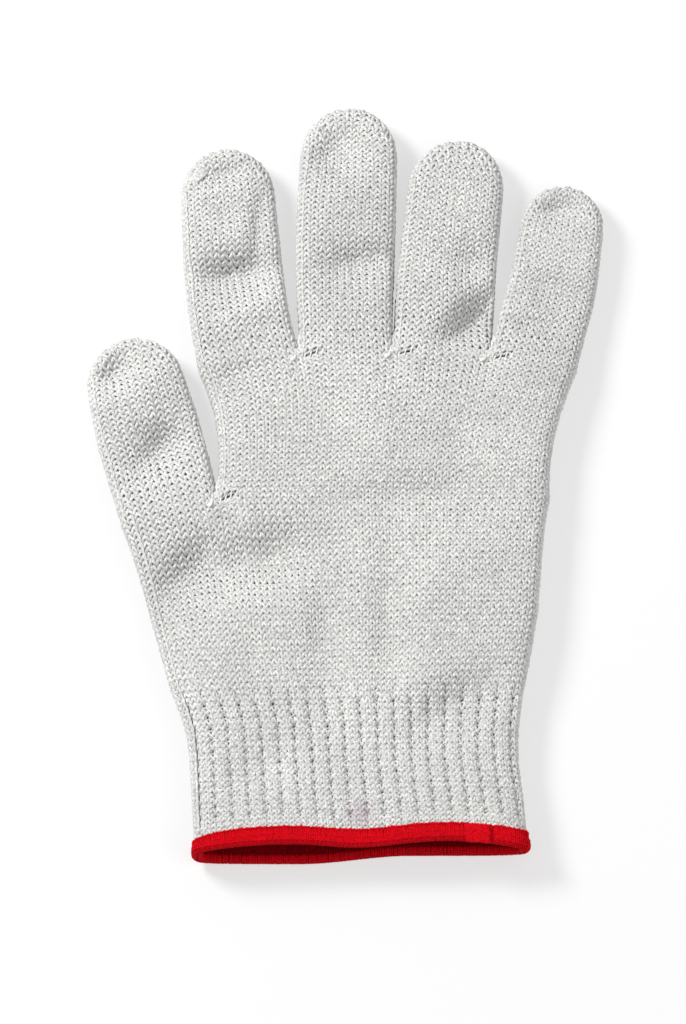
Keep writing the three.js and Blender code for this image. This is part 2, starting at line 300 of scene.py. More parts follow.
palm_foot = node_range("upper_palm", WORLD)[0]
palm_top = min(root_point("index", "left")[1], root_point("little", "right")[1]) - 0.6
palm_rows = outline(["upper_palm"], WORLD, np.linspace(palm_foot + 0.05, palm_top, 120))
palm_foot -= ROOT_DROP
hem_y, cuff_top = node_range("rib_cuff", WORLD)
body_top = node_range("lower_palm", WORLD)[1]
body_rows = outline(["lower_palm", "wrist_bend", "rib_cuff"], WORLD, np.linspace(hem_y, body_top, 320)[1:-1])
front_hem = hem_y + 5  # above it both sides of the cuff are whole


def shared(point_a, point_b):
    """The point between two neighbours, lowered to where the knit divides."""
    return (np.array(point_a) + np.array(point_b)) / 2 - (0, ROOT_DROP)


def on_edge(rows, column, y):
    return np.array([read(rows, y, column), y])


fingers = DIGITS[:4]
left_foot = [palm_rows[0, 1], palm_foot + ROOT_DROP]
thumb_crotch = shared(root_point("thumb", "right"), left_foot)
thumb_outer = on_edge(body_rows, 1, root_point("thumb", "left")[1] - ROOT_DROP) + (THUMB_CORNER_IN, 0)
index_outer = on_edge(palm_rows, 1, root_point("index", "left")[1] - ROOT_DROP) + (FINGER_CORNER_IN, 0)
little_outer = on_edge(palm_rows, 2, root_point("little", "right")[1] - ROOT_DROP) - (FINGER_CORNER_IN, 0)
thumb_corners = [thumb_outer, thumb_crotch]
finger_corners = (
    [index_outer]
    + [shared(root_point(a, "right"), root_point(b, "left")) for a, b in zip(fingers, fingers[1:])]
    + [little_outer]
)
right_corner = on_edge(body_rows, 2, palm_foot)
corners = {name: finger_corners[k : k + 2] for k, name in enumerate(fingers)} | {"thumb": thumb_corners}


def digit_cloth(name):
    """The surface of one finger or the thumb, from its root line to its tip."""
    axes, start, tip, rows = sections[name]
    stretch = (tip - start) / (tip - INSET - start)
    profile = np.linspace(start, tip - INSET, 400)
    measured = start + (profile - start) * stretch
    rise = np.maximum((read(rows, measured, 4) - read(rows, measured, 3)) / 2 - INSET, 0)
    arc = np.concatenate([[0], np.cumsum(np.hypot(np.diff(profile), np.diff(rise)))])
    places = np.interp(course_places(0, arc[-1], DIGIT_COURSE), arc, profile)
    measured = start + (places - start) * stretch
    left, right, low, high = (read(rows, measured, k) for k in (1, 2, 3, 4))
    # the edges run into the shared corners at the root
    local = [to_local(np.append(corner, 0), axes) for corner in corners[name]]
    fade_left = np.exp(-(places - start) / (OUTER_EASE if name in ("index", "thumb") else CROTCH_EASE))
    fade_right = np.exp(-(places - start) / (OUTER_EASE if name == "little" else CROTCH_EASE))
    left = left + INSET + (local[0][0] - left[0] - INSET) * fade_left
    right = right - INSET + (local[1][0] - right[0] + INSET) * fade_right
    half = np.maximum(right - left, 0.1) / 2
    middle = (left + right) / 2
    height = np.maximum(high - low - 2 * INSET, 0.1) / 2
    centre = (high + low) / 2
    across = middle[:, None] + half[:, None] * HUMP_SAMPLES
    share = (across - local[0][0]) / (local[1][0] - local[0][0])
    warp = local[0][1] + share * (local[1][1] - local[0][1]) - start
    along = places[:, None] + warp * np.exp(-(((places - start) / ROOT_REACH) ** 2))[:, None]
    dome_row = np.searchsorted(places, tip - DOME_KNIT)

    def wanted(lengths):
        pitch = lengths / DIGIT_WALES
        pitch[dome_row:] = pitch[dome_row]
        columns = np.linspace(-0.5, 0.5, DIGIT_WALES * FINE + 1) * DIGIT_WALES
        arcs = lengths[:, None] / 2 + pitch[:, None] * columns
        return np.clip(arcs, 0, lengths[:, None])

    sides = []
    for sign, power in zip((1, -1), DIGIT_FULLNESS):
        up = centre[:, None] + sign * height[:, None] * hump(HUMP_SAMPLES, power)
        if sign > 0:
            up = up + relief(name, across, along - start)
        sides.append(to_world(across, along, up, axes))
    # outward normals all the way round, before the columns are picked
    normals = [side[..., 3:] for side in with_normals(*sides)]
    front, back = (spaced(np.concatenate(pair, 2), wanted) for pair in zip(sides, normals))
    steps = np.linalg.norm(np.diff(sides[0], axis=1), axis=2).sum(1)
    pitch = steps / DIGIT_WALES
    pitch[dome_row:] = pitch[dome_row]
    return Cloth(front, back, places), steps / pitch


def relief(name, across, along):
    """Dents and folds in the front of the fabric, zero where there are none."""
    depth = np.zeros(np.shape(across))
    for place, side, long, wide, turn, amount in DENTS.get(name, ()):
        angle = math.radians(turn)
        dx, dy = across - side, along - place
        u = dx * math.cos(angle) + dy * math.sin(angle)
        v = dy * math.cos(angle) - dx * math.sin(angle)
        fall = wide * np.where(v > 0, STEEP, SLACK)
        depth += amount * np.exp(-((u / long) ** 2) - (v / fall) ** 2)
    return depth


def straight_rows(left, right, low, high, fullness):
    """Rows across a flat tube between its edge points in plan, front and back."""
    plan = left[:, None] + (right - left)[:, None] * ((1 + HUMP_SAMPLES) / 2)[None, :, None]
    centre, height = (low + high) / 2, (high - low) / 2
    sides = []
    for sign, power in zip((1, -1), fullness):
        up = centre[:, None] + sign * height[:, None] * hump(HUMP_SAMPLES, power)
        sides.append(np.concatenate([plan, up[..., None]], 2))
    return sides


def smooth(value):
    value = np.clip(value, 0, 1)
    return value * value * (3 - 2 * value)


def joined(cloth_front, cloth_back, target_front, target_back, distance, plan_reach, up_reach):
    """Eases the last row of a tube into the rows of the tubes that continue it."""
    plan = (1 - smooth(distance / plan_reach))[:, None, None]
    up = (1 - smooth(distance / up_reach))[:, None]
    for cloth, target in ((cloth_front, target_front), (cloth_back, target_back)):
        change = target - cloth[-1]
        cloth[..., :2] += plan * change[:, :2]
        cloth[..., 2] += up * change[:, 2]


def edge_points(rows, column, from_y, to_y, count, ends, inset):
    """An edge of the outline in plan, easing into exact end points."""
    y = np.linspace(from_y, to_y, count)
    whole = np.clip(y, from_y + 1.5, to_y - 0.8)
    edge = np.stack([read(rows, whole, column) + inset, y], 1)
    reach = 5.0
    for end, anchor in ((0, ends[0]), (-1, ends[1])):
        if anchor is not None:
            change = anchor - edge[end]
            edge = edge + np.exp(-np.abs(y - y[end]) / reach)[:, None] * change
    return edge


def with_normals(front, back):
    """Adds outward normals to a pair of grids that meet at both edges."""
    ring = np.concatenate([front, back[:, ::-1][:, 1:-1]], 1)
    around = np.roll(ring, -1, 1) - np.roll(ring, 1, 1)
    normal = np.cross(around, np.gradient(ring, axis=0))
    normal /= np.linalg.norm(normal, axis=2, keepdims=True) + 1e-12
    both = np.concatenate([ring, normal], 2)
    columns = front.shape[1]
    closing = np.concatenate([both[:, columns - 1 :], both[:, :1]], 1)[:, ::-1]
    return both[:, :columns], closing


digit_cloths, digit_spans = {}, {}
for digit in DIGITS:
    digit_cloths[digit], digit_spans[digit] = digit_cloth(digit)


def bridge(left, right):
    """Lets the root rows of two neighbours run flat over the crotch between them, instead of into it."""
    drop, reach = round(DROPPED * FINE), round(BRIDGE * FINE)
    count = drop + reach
    step = np.arange(count + 1)
    over = np.minimum(step, reach)
    dip = BRIDGE_DIP * np.sin(np.pi * over / (2 * reach)) ** 2
    into = np.clip((step - reach) / drop, 0, 1)[:, None] * np.pi / 2
    sink = BRIDGE_SINK * np.sin(np.pi * over / (2 * reach)) ** 2
    for side, sign in (("front", 1), ("back", -1)):
        a, b = getattr(left, side), getattr(right, side)
        start, end = a[0, -1 - count, :3].copy(), b[0, count, :3].copy()
        corner = (a[0, -1, :3] + b[0, 0, :3]) / 2
        for grid, here, there, columns in (
            (a, start, end, np.arange(-1 - count, 0)),
            (b, end, start, np.arange(count, -1, -1)),
        ):
            target = here + (there - here) * (over / (2 * reach))[:, None]
            target[:, 1] -= sink
            target[:, 2] -= sign * dip
            crest = target[reach].copy()
            drop_to = corner - crest
            target[:, :2] += np.sin(into) * drop_to[:2]
            target[:, 2] += (1 - np.cos(into[:, 0])) * drop_to[2]
            change = target - grid[0, columns, :3]
            from_root = np.linalg.norm(grid[:, columns[0], :2] - grid[0, columns[0], :2], axis=1)
            fade = np.exp(-((from_root / BRIDGE_FADE) ** 2))
            grid[:, columns, :3] += fade[:, None, None] * change


def part_rows(cloth, row, column, sign):
    """Opens a short slot beside a crotch, where the first row of a finger is joined to the palm."""
    columns = np.arange(cloth.front.shape[1]) / FINE
    rows = np.arange(len(cloth.front)) - row % len(cloth.front)
    amount = np.exp(-((np.abs(rows) / 2.2) ** 2))[:, None] * np.exp(-(((columns - column) / 1.5) ** 4))
    cloth.front[..., 1] += sign * SLOT * amount


def refresh_normals(cloth, rows):
    front, back = with_normals(cloth.front[: rows + 2, :, :3], cloth.back[: rows + 2, :, :3])
    cloth.front[:rows] = front[:rows]
    cloth.back[:rows] = back[:rows]


for a, b in zip(fingers, fingers[1:]):
    bridge(digit_cloths[a], digit_cloths[b])


def side_by_side(names, side, first_from, last_to):
    """The root rows of neighbouring digits as one row, less the columns that end at the crotches."""
    drop = round(DROPPED * FINE)
    parts = []
    for k, name in enumerate(names):
        row = getattr(digit_cloths[name], side)[0, :, :3]
        begin = first_from if k == 0 else drop
        end = last_to if k == len(names) - 1 else len(row) - 1 - drop
        parts.append(row[begin:end])
    return parts


def upper_palm_cloth():
    top = [finger_corners[0], finger_corners[-1]]
    count = 2 * round((top[0][1] + 4 - palm_foot) / PALM_COURSE) + 1
    left = edge_points(palm_rows, 1, palm_foot, top[0][1], count, (thumb_crotch, top[0]), INSET)
    right = edge_points(palm_rows, 2, palm_foot, top[1][1], count, (right_corner, top[1]), -INSET)
    y = (left[:, 1] + right[:, 1]) / 2
    low, high = read(palm_rows, y, 3) + INSET, read(palm_rows, y, 4) - INSET
    front, back = straight_rows(left, right, low, high, BODY_FULLNESS)
    front, back = spaced(front, even(PALM_WALES)), spaced(back, even(PALM_WALES))
    full = DIGIT_WALES * FINE + 1
    targets = [np.concatenate(side_by_side(fingers, side, 0, full)) for side in ("front", "back")]
    front[..., 2] += relief("palm", front[..., 0], front[..., 1])
    joined(front, back, *targets, y[-1] - y, *PALM_EASE)
    cloth = Cloth(front, back, y)
    bridge(digit_cloths["thumb"], cloth)
    for k, name in enumerate(fingers[1:], 1):
        part_rows(digit_cloths[name], 0, DROPPED + SLOT_ASIDE, 1)
        part_rows(cloth, -1, k * (DIGIT_WALES - 2 * DROPPED) + DROPPED + SLOT_ASIDE, -1)
    part_rows(cloth, 0, DROPPED + SLOT_ASIDE, 1)
    for name in DIGITS:
        refresh_normals(digit_cloths[name], RENEWED_ROWS)
    return Cloth(*with_normals(front, back), y)


def body_cloth(palm):
    """The lower palm, wrist and cuff, from the hem up to the thumb's root."""
    top = [thumb_corners[0], right_corner]
    count = 2 * round((top[1][1] - hem_y) / BODY_COURSE) + 1
    left = edge_points(body_rows, 1, hem_y, top[0][1], count, (None, top[0]), INSET)
    right = edge_points(body_rows, 2, hem_y, top[1][1], count, (None, top[1]), -INSET)
    drawn_in = np.exp(-(((left[:, 1] - hem_y) / 12) ** 2))
    left[:, 0] += MOUTH_IN_LEFT * drawn_in
    right[:, 0] -= MOUTH_IN_RIGHT * drawn_in
    y = (left[:, 1] + right[:, 1]) / 2
    low, high = read(body_rows, y, 3) + INSET, read(body_rows, np.maximum(y, front_hem), 4) - INSET
    front, back = straight_rows(left, right, low, high, BODY_FULLNESS)
    front, back = spaced(front, even(BODY_WALES)), spaced(back, even(BODY_WALES))
    drop = round(DROPPED * FINE)
    targets = []
    for side in ("front", "back"):
        thumb = getattr(digit_cloths["thumb"], side)[0, :-1 - drop, :3]
        targets.append(np.concatenate([thumb, getattr(palm, side)[0, drop:, :3]]))
    front[..., 2] += relief("palm", front[..., 0], front[..., 1])
    joined(front, back, *targets, y[-1] - y, *BODY_EASE)
    part_rows(Cloth(front, back, y), -1, DIGIT_WALES - DROPPED + SLOT_ASIDE, -2.2)
    shape_mouth(front, y)
    shape_mouth(back, y)
    return Cloth(*with_normals(front, back), y)


def shape_mouth(side, y):
    """The palm side of the mouth is shorter and sags, and the back slopes."""
    near = smooth(1 - (y - hem_y) / MOUTH_FOLD)[:, None] ** 2
    raised = smooth((side[..., 2] - 3) / 10)
    x = side[..., 0]
    sag = np.exp(-(((x - 3) / 13) ** 2))
    arch = 1 - np.minimum(np.abs(x - 4) / 54, 1) ** 3
    side[..., 1] += near * raised * (MOUTH_SHORTER * arch - 0.9 * sag + 1.4 * smooth((x - 8) / 30))
    side[..., 2] -= near * raised * (MOUTH_SAG * sag + 0.8)
    side[..., 1] += near * (1 - raised) * MOUTH_SLOPE * smooth((x + 14) / 34)


palm_cloth = upper_palm_cloth()
body = body_cloth(palm_cloth)


# ---- yarn ----
def as_ring(cloth):
    return np.concatenate([cloth.front[:, :-1], cloth.back[:, ::-1][:, :-1]], 1)


def sampled(ring, column, row, clip_top=False):
    """Positions and normals at fractional grid columns and rows."""
    columns = ring.shape[1]
    column = column % columns
    left = np.floor(column).astype(int) % columns
    beside = (left + 1) % columns
    across = (column - np.floor(column))[:, None]
    if clip_top:
        row = np.minimum(row, len(ring) - 1)
    below = np.clip(np.floor(row).astype(int), 0, len(ring) - 2)
    upward = (row - below)[:, None]
    low = ring[below, left] * (1 - across) + ring[below, beside] * across
    high = ring[below + 1, left] * (1 - across) + ring[below + 1, beside] * across
    return low * (1 - upward) + high * upward


def course(ring, wales, number, room=None, ribbed=0.0, edge=None):
    """The path of one row of knit stitches: points and normals. The feet point to the fingertips."""
    kept = wales if room is None else max(wales - 2 * round((wales - room) / 2), 1)
    stitches = np.arange(2 * kept) + 0.5
    turn = -np.pi + 2 * np.pi * np.arange(LOOP_STEPS) / LOOP_STEPS
    jitter = rng.normal(0, 1, (len(stitches), 3))
    from_fold = kept / 2 - np.abs(stitches % kept - kept / 2)
    straight = np.exp(-((from_fold / 1.3) ** 2))[:, None]
    lean = LEAN_IN * (1 + 0.10 * jitter[:, :1]) * (1 - 0.6 * straight)
    u = stitches[:, None] + turn / (2 * np.pi) + lean * np.sin(2 * turn) + 0.025 * jitter[:, 1:2]
    v = 2 * (number - LOOP_REACH * np.cos(turn) * (1 + 0.05 * jitter[:, 2:3]))
    out = -DEPTH * np.cos(2 * turn) + 0.06 * jitter[:, 1:2]
    thin = np.ones(u.shape)
    if ribbed:
        groove = u / RIB_WALES - np.round(u / RIB_WALES)
        near = np.exp(-((groove * RIB_WALES / 0.45) ** 2))
        open_course = round(number - 0.5) % 2
        low_end = 0.5 + 0.5 * np.cos(turn)
        away = np.where(groove < 0, -low_end, 0.8 * (1 - low_end))
        u = u + ribbed * near * (0.05 * np.sign(groove) + 0.5 * open_course * away)
        thin = 1 - 0.4 * ribbed * near * open_course
        out = out - ribbed * 0.55 * np.exp(-((groove * RIB_WALES / 0.55) ** 2))
    if edge is not None:
        out = out - EDGE_GROOVE * np.exp(-(((u - edge + 0.5) / 0.3) ** 2))
    if room is not None:
        side = np.floor(u / kept)
        u = side * wales + wales / 2 + (u - side * kept - kept / 2) * room / kept
    found = sampled(ring, u.ravel() * FINE, v.ravel(), room is not None)
    normals = found[:, 3:] / (np.linalg.norm(found[:, 3:], axis=1, keepdims=True) + 1e-12)
    return found[:, :3] + out.ravel()[:, None] * normals, normals, thin.ravel()


def surface(ring, columns, rows, out):
    found = sampled(ring, columns * FINE, rows)
    normals = unit(found[:, 3:])
    return found[:, :3] + out * normals, normals


def resampled(points, count):
    steps = np.concatenate([[0], np.cumsum(np.linalg.norm(np.diff(points, axis=0), axis=1))])
    wanted = np.linspace(0, steps[-1], count)
    return np.stack([np.interp(wanted, steps, points[:, k]) for k in range(3)], -1)


def unit(vectors):
    return vectors / (np.linalg.norm(vectors, axis=-1, keepdims=True) + 1e-12)


def strand(points, normals, radius, sides, closed=True):
    """Corners and quads of a round strand along a path, and its two surface coordinates."""
    if closed:
        travel = unit(np.roll(points, -1, 0) - np.roll(points, 1, 0))
    else:
        travel = unit(np.gradient(points, axis=0))
    beside = unit(np.cross(travel, normals))
    outward = np.cross(beside, travel)
    angle = 2 * np.pi * np.arange(sides) / sides
    radius = np.broadcast_to(radius, len(points))[:, None, None]
    spread = outward[:, None] * np.cos(angle)[:, None] + beside[:, None] * np.sin(angle)[:, None]
    corners = points[:, None] + radius * spread
    steps = len(points) if closed else len(points) - 1
    i, j = np.meshgrid(np.arange(steps), np.arange(sides), indexing="ij")
    next_i, next_j = (i + 1) % len(points), (j + 1) % sides
    quads = np.stack([i * sides + j, i * sides + next_j, next_i * sides + next_j, next_i * sides + j], -1)
    across = np.stack([j, j + 1, j + 1, j], -1) / sides
    along = np.stack([i, i, i + 1, i + 1], -1) / steps
    return corners.reshape(-1, 3), quads.reshape(-1, 4), np.stack([along, across], -1).reshape(-1, 4, 2)


def capped(points, normals, radius, sides):
    """An open strand whose ends close to a point."""
    radii = np.full(len(points) + 2, float(radius))
    radii[0] = radii[-1] = radius * 0.05
    radii[1] = radii[-2] = radius * 0.8
    travel = unit(np.gradient(points, axis=0))
    ends = [points[:1] - travel[:1] * radius * 0.6, points, points[-1:] + travel[-1:] * radius * 0.6]
    faces = np.concatenate([normals[:1], normals, normals[-1:]])
    return strand(np.concatenate(ends), faces, radii, sides, closed=False)


def make_mesh(name, strands, material):
    """One mesh object from many strands, with a tidy chart: a strip of the square for each strand."""
    corners, quads, charts, offset = [], [], [], 0
    for k, (points, faces, chart) in enumerate(strands):
        corners.append(points)
        quads.append(faces + offset)
        offset += len(points)
        strip = np.stack([chart[..., 0], (k + 0.06 + 0.88 * chart[..., 1]) / len(strands)], -1)
        charts.append(strip)
    corners, quads = np.concatenate(corners) * MM, np.concatenate(quads)
    mesh = bpy.data.meshes.new(name)
    mesh.vertices.add(len(corners))
    mesh.vertices.foreach_set("co", corners.astype(np.float32).ravel())
    mesh.loops.add(quads.size)
    mesh.loops.foreach_set("vertex_index", quads.astype(np.int32).ravel())
    mesh.polygons.add(len(quads))
    mesh.polygons.foreach_set("loop_start", np.arange(0, quads.size, 4, dtype=np.int32))
    mesh.polygons.foreach_set("use_smooth", np.ones(len(quads), bool))
    layer = mesh.uv_layers.new(name="OFBake")
    layer.data.foreach_set("uv", np.concatenate(charts).astype(np.float32).ravel())
    mesh.update(calc_edges=True)
    mesh.materials.append(material)
    piece = bpy.data.objects.new(name, mesh)
    bpy.context.scene.collection.objects.link(piece)
    return piece


# ---- materials ----
def socket_value(node, name, value):
    node.inputs[name].default_value = value


def yarn_material(name, light, dark, fibre=0.35, sheen=0.35, gloss=0.25, stain=None):
    """Yarn: a fine speckle, slow patches of tone and small fibres. A stain is its place, reach and tint."""
    material = bpy.data.materials.new(name)
    material.use_nodes = True
    nodes, links = material.node_tree.nodes, material.node_tree.links
    shader = nodes["Principled BSDF"]
    socket_value(shader, "Roughness", 0.88)
    socket_value(shader, "Sheen Weight", sheen)
    socket_value(shader, "Sheen Roughness", 0.5)
    socket_value(shader, "Specular IOR Level", gloss)
    place = nodes.new("ShaderNodeTexCoord")

    def noise(scale, detail):
        node = nodes.new("ShaderNodeTexNoise")
        socket_value(node, "Scale", scale)
        socket_value(node, "Detail", detail)
        links.new(place.outputs["Object"], node.inputs["Vector"])
        return node.outputs["Fac"]

    def blend(factor, low, high, start, end):
        node = nodes.new("ShaderNodeMapRange")
        for socket, value in (("From Min", start), ("From Max", end), ("To Min", low), ("To Max", high)):
            socket_value(node, socket, value)
        links.new(factor, node.inputs["Value"])
        return node.outputs["Result"]

    fine = blend(noise(1400, 3), 0, 1, 0.32, 0.68)
    slow = blend(noise(45, 2), 0.93, 1.05, 0.3, 0.7)
    mix = nodes.new("ShaderNodeMix")
    mix.data_type = "RGBA"
    mix.inputs["A"].default_value = (*dark, 1)
    mix.inputs["B"].default_value = (*light, 1)
    links.new(fine, mix.inputs["Factor"])
    tone = nodes.new("ShaderNodeVectorMath")
    tone.operation = "SCALE"
    links.new(mix.outputs["Result"], tone.inputs[0])
    links.new(slow, tone.inputs["Scale"])
    links.new(tone.outputs["Vector"], shader.inputs["Base Color"])
    if stain:
        spot, reach, tint = stain
        away = nodes.new("ShaderNodeVectorMath")
        away.operation = "DISTANCE"
        links.new(place.outputs["Object"], away.inputs[0])
        away.inputs[1].default_value = spot
        soak = nodes.new("ShaderNodeMix")
        soak.data_type = "RGBA"
        soak.blend_type = "MULTIPLY"
        soak.inputs["B"].default_value = (*tint, 1)
        links.new(blend(away.outputs["Value"], 1, 0, 0.2 * reach, reach), soak.inputs["Factor"])
        links.new(tone.outputs["Vector"], soak.inputs["A"])
        links.new(soak.outputs["Result"], shader.inputs["Base Color"])
    bump = nodes.new("ShaderNodeBump")
    socket_value(bump, "Strength", fibre)
    socket_value(bump, "Distance", 0.0002)
    links.new(noise(4200, 2), bump.inputs["Height"])
    links.new(bump.outputs["Normal"], shader.inputs["Normal"])
    return material


knit_yarn = yarn_material("knit_yarn", KNIT_LIGHT, KNIT_DARK, sheen=0.12)
stained_yarn = yarn_material("stained_yarn", KNIT_LIGHT, KNIT_DARK, sheen=0.12, stain=STAIN)
join_yarn = yarn_material("join_yarn", (0.80, 0.80, 0.78), (0.54, 0.54, 0.53), sheen=0.12)
overlock_yarn = yarn_material("overlock_yarn", (0.66, 0, 0.008), (0.4, 0, 0.003), sheen=0, gloss=0.1)
# The same red thread as outside, made darker: painted shade for the inside of the mouth, where little light
# reaches.
inside_painted_shade_yarn = yarn_material("inside_painted_shade_yarn", (0.3, 0, 0.004), (0.15, 0, 0.002), sheen=0, gloss=0.05)
elastic_yarn = yarn_material("elastic_yarn", (0.82, 0.81, 0.78), (0.6, 0.6, 0.58))

# ---- camera, floor and light ----

def look(thing, place, target):
    thing.location = place
    direction = np.array(target) - np.array(place)
    turn = math.atan2(direction[0], direction[1])
    drop = math.atan2(math.hypot(direction[0], direction[1]), -direction[2])
    thing.rotation_euler = (drop, 0, -turn)


def add_camera():
    camera = bpy.data.cameras.new("camera")
    camera.lens = LENS
    camera.sensor_width = 36
    thing = bpy.data.objects.new("camera", camera)
    bpy.context.scene.collection.objects.link(thing)
    tilt = math.radians(TILT)
    look(thing, np.array(TARGET) + DISTANCE * np.array([0, -math.sin(tilt), math.cos(tilt)]), TARGET)
    bpy.context.scene.camera = thing


def add_light(name, place, size, power):
    light = bpy.data.lights.new(name, "AREA")
    light.size = size
    light.energy = power
    thing = bpy.data.objects.new(name, light)
    bpy.context.scene.collection.objects.link(thing)
    look(thing, place, (0, 0, 0))


def add_floor():
    mesh = bpy.data.meshes.new("floor")
    reach = 3.0
    corners = [(-reach, -reach, 0), (reach, -reach, 0), (reach, reach, 0), (-reach, reach, 0)]
    mesh.from_pydata(corners, [], [(0, 1, 2, 3)])
    floor = bpy.data.objects.new("floor", mesh)
    bpy.context.scene.collection.objects.link(floor)
    material = bpy.data.materials.new("floor")
    material.use_nodes = True
    shader = material.node_tree.nodes["Principled BSDF"]
    socket_value(shader, "Base Color", (0.3, 0.3, 0.3, 1))
    socket_value(shader, "Emission Color", (1, 1, 1, 1))
    socket_value(shader, "Emission Strength", 0.58)
    socket_value(shader, "Roughness", 0.9)
    mesh.materials.append(material)


def add_surroundings():
    world = bpy.data.worlds.new("studio")
    world.use_nodes = True
    socket_value(world.node_tree.nodes["Background"], "Color", (1, 1, 1, 1))
    socket_value(world.node_tree.nodes["Background"], "Strength", 0.5)
    bpy.context.scene.world = world
    bpy.context.scene.view_settings.view_transform = "Standard"
    add_light("key", (-0.82, 0.5, 0.92), 0.4, 19)
    add_light("fill", (0.8, -0.4, 1.0), 0.9, 5)


add_camera()
add_floor()
add_surroundings()


# ---- knitted pieces ----
def knit(cloth, wales, first, last, span=None, ribs=None):
    """The courses from first to last as strands. span is how many columns each grid row still has."""
    ring = as_ring(cloth)
    edge = edge_column(cloth)
    strands = []
    for number in range(first, last):
        centre = number + 0.5
        room = None if span is None else min(span[min(round(2 * centre), len(span) - 1)], wales)
        ribbed = 0.0 if ribs is None else ribs[min(round(2 * centre), len(ribs) - 1)]
        points, normals, thin = course(ring, wales, centre, room, ribbed, edge)
        thick = YARN * thin * (1 + 0.08 * rng.normal(0, 1, len(points)).clip(-2, 2))
        strands.append(strand(points, normals, thick, YARN_SIDES))
    return strands


def edge_column(cloth):
    """The column that lies a set distance inside the left edge, seen from above."""
    row = cloth.front[len(cloth.front) // 3]
    inward = np.linalg.norm(row[:, :2] - row[0, :2], axis=1)
    return np.interp(EDGE_IN, inward, np.arange(len(row))) / FINE


def edge_line(cloth, first, last):
    """The straight float of yarn that runs up the left edge of a tube."""
    rows = np.arange(2 * first - 0.6, 2 * last + 0.6, 0.8)
    columns = edge_column(cloth) + 0.05 * np.sin(rows * 1.9)
    points, normals = surface(as_ring(cloth), columns, np.clip(rows, 0, len(cloth.front) - 2), EDGE_OUT)
    return capped(points, normals, EDGE_RADIUS, 5)


def rows_between(cloth, low, high):
    """The first and last course numbers whose middles lie between two places."""
    middles = cloth.places[1::2]
    return int(np.searchsorted(middles, low)), int(np.searchsorted(middles, high))


def gather(cloth, middle, turn):
    """A small satin patch where the last yarn of a fingertip is drawn in: short strands side by side."""
    grid = cloth.front.reshape(-1, 6)
    along = np.array([math.cos(math.radians(turn)), math.sin(math.radians(turn))])
    beside = np.array([along[1], -along[0]])
    strands = []
    for k in range(GATHER_STRANDS):
        place = k - (GATHER_STRANDS - 1) / 2
        reach = GATHER_LONG * math.sqrt(1 - (place / GATHER_STRANDS) ** 2)
        steps = np.linspace(-reach, reach, GATHER_POINTS)[:, None]
        plan = middle + place * GATHER_PITCH * beside + steps * along
        nearest = [np.argmin(((grid[:, :2] - spot) ** 2).sum(1)) for spot in plan]
        normals = resampled(unit(grid[nearest, 3:]), GATHER_POINTS)
        turned = np.linspace(0.15, np.pi - 0.15, GATHER_POINTS)
        arch = GATHER_OUT * np.sin(turned) ** 0.5
        height = np.convolve(np.pad(grid[nearest, 2], 1, "edge"), np.ones(3) / 3, "valid")
        strands.append(capped(np.column_stack([plan, height + arch]), normals, 0.36, 6))
    return strands


def add_digit(name):
    axes, start, tip, _ = sections[name]
    cloth, span = digit_cloths[name], digit_spans[name]
    parts = ["base", "tip"] if name == "thumb" else ["proximal", "middle", "tip"]
    hinges = [f"{name}_{end}" for end in ["root", *parts[1:]]]
    places = [to_local(np.array(joints[h]["pos_m"]) / MM, axes)[1] for h in hinges]
    ends = [start] + [(a + b) / 2 for a, b in zip(places, places[1:])] + [tip + 1]
    for k, part in enumerate(parts):
        below = 5 if k == 0 else 0  # the root's first row lies below the digit's start
        first, last = rows_between(cloth, ends[k] - below, ends[k + 1])
        strands = knit(cloth, DIGIT_WALES, first, last, span)
        strands.append(edge_line(cloth, first, last - (9 if part == "tip" else 0)))
        if (name, part) == ("index", "tip"):
            strands += gather(cloth, np.array(GATHER_AT), GATHER_TURN)
        piece = make_mesh(f"{name}_{part}_knit", strands, knit_yarn)
        bend = f"{name}_tip_bend" if part == "tip" else f"{name}_{'root' if k == 0 else 'middle'}_bend"
        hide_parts(bend, f"{name}_{part}")
        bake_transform(piece)


for digit in DIGITS:
    add_digit(digit)

palm_courses = (len(palm_cloth.places) - 1) // 2
for part, first, last in (("low", 0, palm_courses // 2), ("high", palm_courses // 2, palm_courses)):
    strands = knit(palm_cloth, PALM_WALES, first, last) + [edge_line(palm_cloth, first, last)]
    piece = make_mesh(f"upper_palm_{part}_knit", strands, knit_yarn)
    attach(piece, "palm")
    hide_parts("upper_palm")

wrist_y = joints["wrist"]["pos_m"][1] / MM
rib_start = wrist_y + 9
ribs = smooth((rib_start - body.places) / 7)
ribs = ribs * (0.2 + 0.8 * smooth((body.places - hem_y - 6) / 4))
wrist_low, wrist_high = wrist_y - WRIST_REACH - 1, wrist_y + WRIST_REACH + 1
cuff_breaks = np.linspace(hem_y + BODY_COURSE, wrist_low, 3)
palm_breaks = np.linspace(wrist_high, body_top + 5, 4)
breaks = [*cuff_breaks, *palm_breaks]
names = ["cuff_low_knit", "cuff_high_knit", "wrist_knit"]
names += ["lower_palm_low_knit", "lower_palm_middle_knit", "lower_palm_high_knit"]
stand_for = ["rib_cuff"] * 2 + ["wrist_bend"] + ["lower_palm"] * 3
for name, node, low, high in zip(names, stand_for, breaks, breaks[1:]):
    first, last = rows_between(body, low, high)
    strands = knit(body, BODY_WALES, first, last, ribs=ribs)
    strands.append(edge_line(body, max(first, 3), last))
    piece = make_mesh(name, strands, stained_yarn if name == "cuff_low_knit" else knit_yarn)
    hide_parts(node)
    if node == "wrist_bend":
        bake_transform(piece)
    else:
        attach(piece, "cuff" if node == "rib_cuff" else "palm")


# ---- red overlock round the mouth ----
body_ring = as_ring(body)
around = np.linalg.norm(np.diff(body_ring[0, :, :2], axis=0), axis=1).sum()


